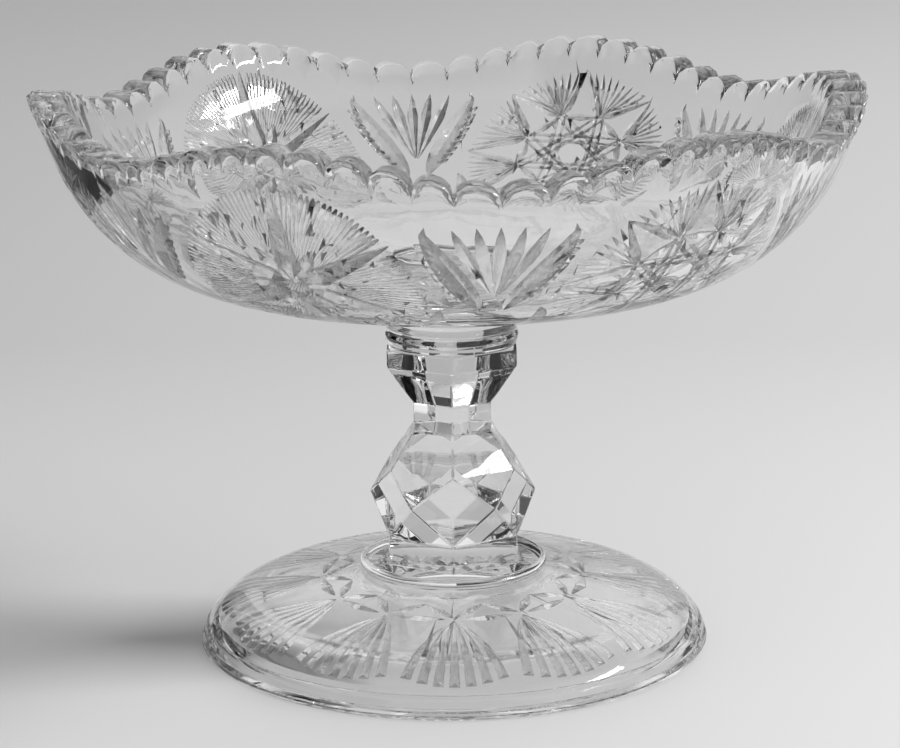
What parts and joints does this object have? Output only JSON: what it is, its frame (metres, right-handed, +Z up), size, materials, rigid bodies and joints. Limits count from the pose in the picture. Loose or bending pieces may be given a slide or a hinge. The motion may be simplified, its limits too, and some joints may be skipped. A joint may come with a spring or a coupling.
{
  "type": "compote",
  "caption": "Footed pressed-glass bowl with a scalloped toothed rim, cut-pattern relief, faceted knop stem and a domed hollow foot.",
  "frame": {"origin": "centre of the foot's resting ring, on the surface that the compote stands on", "axes": "+Z up the stem's axis to the bowl; +X and +Y across the bowl, which is alike at each third of a turn"},
  "size_m": [0.2182, 0.2134, 0.151],
  "materials": {
    "bowl": "clear pressed glass, fire polished, with cut-style relief outside",
    "bowl_wafer": "clear pressed glass, fire polished",
    "stem": "clear pressed glass with flat facets",
    "foot_wafer": "clear pressed glass, fire polished",
    "foot": "clear pressed glass, smooth above, fluted fans beneath"
  },
  "bodies": {
    "root": {"bowl": "bowl", "bowl_wafer": "bowl_wafer", "stem": "stem", "foot_wafer": "foot_wafer", "foot": "foot"}
  },
  "joints": []
}
